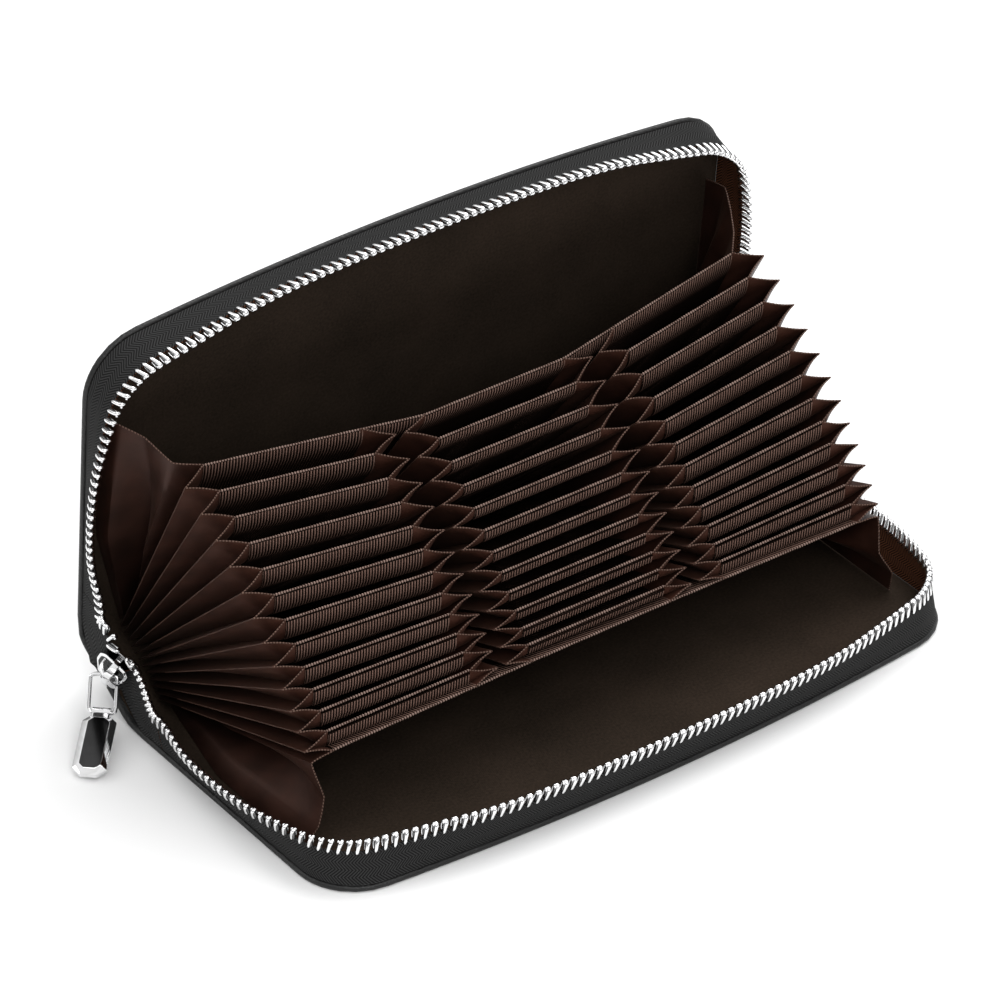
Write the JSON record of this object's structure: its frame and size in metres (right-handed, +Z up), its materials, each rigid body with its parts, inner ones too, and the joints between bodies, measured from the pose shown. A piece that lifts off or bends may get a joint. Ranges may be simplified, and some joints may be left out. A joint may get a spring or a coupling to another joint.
{
  "type": "credit card wallet",
  "caption": "Zip around card wallet standing open: leather covers, a fan of pleated card pockets in side by side columns, metal zip teeth round the edges and a slider with a pull tab.",
  "frame": {"origin": "centre of the lower cover's flat underside, on the surface it lies on", "axes": "+X along the spine, to the right seen from the opening; -Y from the spine towards the opening; +Z up"},
  "size_m": [0.2168, 0.1162, 0.1086],
  "materials": {
    "leather": "fine grained, semi matt",
    "lining": "fine grained, matt",
    "ribbed_cloth": "ribbed, soft sheen",
    "satin_cloth": "smooth, satin sheen",
    "zip_tape": "herringbone weave, matt",
    "zip_teeth": "bright silver",
    "zip_pull": "polished"
  },
  "bodies": {
    "lower_shell": {"lower_cover_leather": "leather", "lower_cover_lining": "lining", "lower_zip_tape": "zip_tape", "lower_zip_teeth": "zip_teeth"},
    "spine": {"spine_leather": "leather", "spine_lining": "lining", "left_column_left_pleats": "satin_cloth", "left_column_right_pleats": "satin_cloth", "middle_column_left_pleats": "satin_cloth", "middle_column_right_pleats": "satin_cloth", "right_column_left_pleats": "satin_cloth", "right_column_right_pleats": "satin_cloth", "left_upper_gusset": "satin_cloth", "left_lower_gusset": "satin_cloth", "right_upper_gusset": "satin_cloth", "right_lower_gusset": "satin_cloth", "left_zip_end": "zip_teeth", "right_zip_end": "zip_teeth", "slider_body": "zip_pull"},
    "upper_shell": {"upper_cover_leather": "leather", "upper_cover_lining": "lining", "upper_zip_tape": "zip_tape", "upper_zip_teeth": "zip_teeth"},
    "row_01": {"back_divider": "ribbed_cloth"},
    "row_02": {"left_leaf_02": "ribbed_cloth", "middle_leaf_02": "ribbed_cloth", "right_leaf_02": "ribbed_cloth"},
    "row_03": {"left_leaf_03": "ribbed_cloth", "middle_leaf_03": "ribbed_cloth", "right_leaf_03": "ribbed_cloth"},
    "row_04": {"left_leaf_04": "ribbed_cloth", "middle_leaf_04": "ribbed_cloth", "right_leaf_04": "ribbed_cloth"},
    "row_05": {"left_leaf_05": "ribbed_cloth", "middle_leaf_05": "ribbed_cloth", "right_leaf_05": "ribbed_cloth"},
    "row_06": {"left_leaf_06": "ribbed_cloth", "middle_leaf_06": "ribbed_cloth", "right_leaf_06": "ribbed_cloth"},
    "row_07": {"left_leaf_07": "ribbed_cloth", "middle_leaf_07": "ribbed_cloth", "right_leaf_07": "ribbed_cloth"},
    "row_08": {"left_leaf_08": "ribbed_cloth", "middle_leaf_08": "ribbed_cloth", "right_leaf_08": "ribbed_cloth"},
    "row_09": {"left_leaf_09": "ribbed_cloth", "middle_leaf_09": "ribbed_cloth", "right_leaf_09": "ribbed_cloth"},
    "row_10": {"left_leaf_10": "ribbed_cloth", "middle_leaf_10": "ribbed_cloth", "right_leaf_10": "ribbed_cloth"},
    "row_11": {"left_leaf_11": "ribbed_cloth", "middle_leaf_11": "ribbed_cloth", "right_leaf_11": "ribbed_cloth"},
    "row_12": {"left_leaf_12": "ribbed_cloth", "middle_leaf_12": "ribbed_cloth", "right_leaf_12": "ribbed_cloth"},
    "row_13": {"front_divider": "ribbed_cloth"},
    "bail": {"puller_bail": "zip_pull"},
    "tab": {"puller_tab": "zip_pull"}
  },
  "joints": [
    {"name": "spine_fold", "type": "hinge", "parent": "lower_shell", "child": "spine", "pos_m": [0, 0.0455, 0.0016], "axis": [1, 0, 0], "range_deg": [-6, 55.2], "deforming": ["left_column_left_pleats", "left_column_right_pleats", "middle_column_left_pleats", "middle_column_right_pleats", "right_column_left_pleats", "right_column_right_pleats", "left_upper_gusset", "left_lower_gusset", "right_upper_gusset", "right_lower_gusset", "left_zip_end", "right_zip_end"]},
    {"name": "cover_fold", "type": "hinge", "parent": "spine", "child": "upper_shell", "pos_m": [0, 0.06603, 0.01587], "axis": [1, 0, 0], "range_deg": [-4, 30]},
    {"name": "leaf_fold_01", "type": "hinge", "parent": "spine", "child": "row_01", "pos_m": [0, 0.06321, 0.01537], "axis": [1, 0, 0], "range_deg": [-1.53, 10]},
    {"name": "leaf_fold_02", "type": "hinge", "parent": "spine", "child": "row_02", "pos_m": [0, 0.06185, 0.01443], "axis": [1, 0, 0], "range_deg": [-0.99, 4.98]},
    {"name": "leaf_fold_03", "type": "hinge", "parent": "spine", "child": "row_03", "pos_m": [0, 0.0605, 0.01349], "axis": [1, 0, 0], "range_deg": [-0.83, 0.54]},
    {"name": "leaf_fold_04", "type": "hinge", "parent": "spine", "child": "row_04", "pos_m": [0, 0.05914, 0.01254], "axis": [1, 0, 0], "range_deg": [-5.45, 1.04]},
    {"name": "leaf_fold_05", "type": "hinge", "parent": "spine", "child": "row_05", "pos_m": [0, 0.05779, 0.0116], "axis": [1, 0, 0], "range_deg": [-9.87, 1.52]},
    {"name": "leaf_fold_06", "type": "hinge", "parent": "spine", "child": "row_06", "pos_m": [0, 0.05643, 0.01066], "axis": [1, 0, 0], "range_deg": [-14.08, 1.98]},
    {"name": "leaf_fold_07", "type": "hinge", "parent": "spine", "child": "row_07", "pos_m": [0, 0.05508, 0.00972], "axis": [1, 0, 0], "range_deg": [-18.1, 2.41]},
    {"name": "leaf_fold_08", "type": "hinge", "parent": "spine", "child": "row_08", "pos_m": [0, 0.05373, 0.00878], "axis": [1, 0, 0], "range_deg": [-21.92, 2.83]},
    {"name": "leaf_fold_09", "type": "hinge", "parent": "spine", "child": "row_09", "pos_m": [0, 0.05237, 0.00784], "axis": [1, 0, 0], "range_deg": [-25.53, 3.22]},
    {"name": "leaf_fold_10", "type": "hinge", "parent": "spine", "child": "row_10", "pos_m": [0, 0.05101, 0.00689], "axis": [1, 0, 0], "range_deg": [-28.95, 3.59]},
    {"name": "leaf_fold_11", "type": "hinge", "parent": "spine", "child": "row_11", "pos_m": [0, 0.04966, 0.00595], "axis": [1, 0, 0], "range_deg": [-32.17, 3.94]},
    {"name": "leaf_fold_12", "type": "hinge", "parent": "spine", "child": "row_12", "pos_m": [0, 0.04831, 0.00501], "axis": [1, 0, 0], "range_deg": [-35.18, 4.27]},
    {"name": "leaf_fold_13", "type": "hinge", "parent": "spine", "child": "row_13", "pos_m": [0, 0.04695, 0.00407], "axis": [1, 0, 0], "range_deg": [-38, 4.58]},
    {"name": "bail_swing", "type": "hinge", "parent": "spine", "child": "bail", "pos_m": [-0.09718, 0.05212, 0.01326], "axis": [0.7314, -0.682, 0], "range_deg": [-56, 7]},
    {"name": "tab_swing", "type": "hinge", "parent": "bail", "child": "tab", "pos_m": [-0.10041, 0.04865, 0.00538], "axis": [0.7314, -0.682, 0], "range_deg": [-40, 49]}
  ],
  "couplings": [
    {"joint": "cover_fold", "follows": "spine_fold", "ratio": 0.53623},
    {"joint": "leaf_fold_01", "follows": "spine_fold", "ratio": 0.1721},
    {"joint": "leaf_fold_02", "follows": "spine_fold", "ratio": 0.08122},
    {"joint": "leaf_fold_03", "follows": "spine_fold", "ratio": -0.006039},
    {"joint": "leaf_fold_04", "follows": "spine_fold", "ratio": -0.089674},
    {"joint": "leaf_fold_05", "follows": "spine_fold", "ratio": -0.16969},
    {"joint": "leaf_fold_06", "follows": "spine_fold", "ratio": -0.24607},
    {"joint": "leaf_fold_07", "follows": "spine_fold", "ratio": -0.31884},
    {"joint": "leaf_fold_08", "follows": "spine_fold", "ratio": -0.38798},
    {"joint": "leaf_fold_09", "follows": "spine_fold", "ratio": -0.4535},
    {"joint": "leaf_fold_10", "follows": "spine_fold", "ratio": -0.5154},
    {"joint": "leaf_fold_11", "follows": "spine_fold", "ratio": -0.57367},
    {"joint": "leaf_fold_12", "follows": "spine_fold", "ratio": -0.62832},
    {"joint": "leaf_fold_13", "follows": "spine_fold", "ratio": -0.67935},
    {"joint": "bail_swing", "follows": "spine_fold", "ratio": -1}
  ]
}
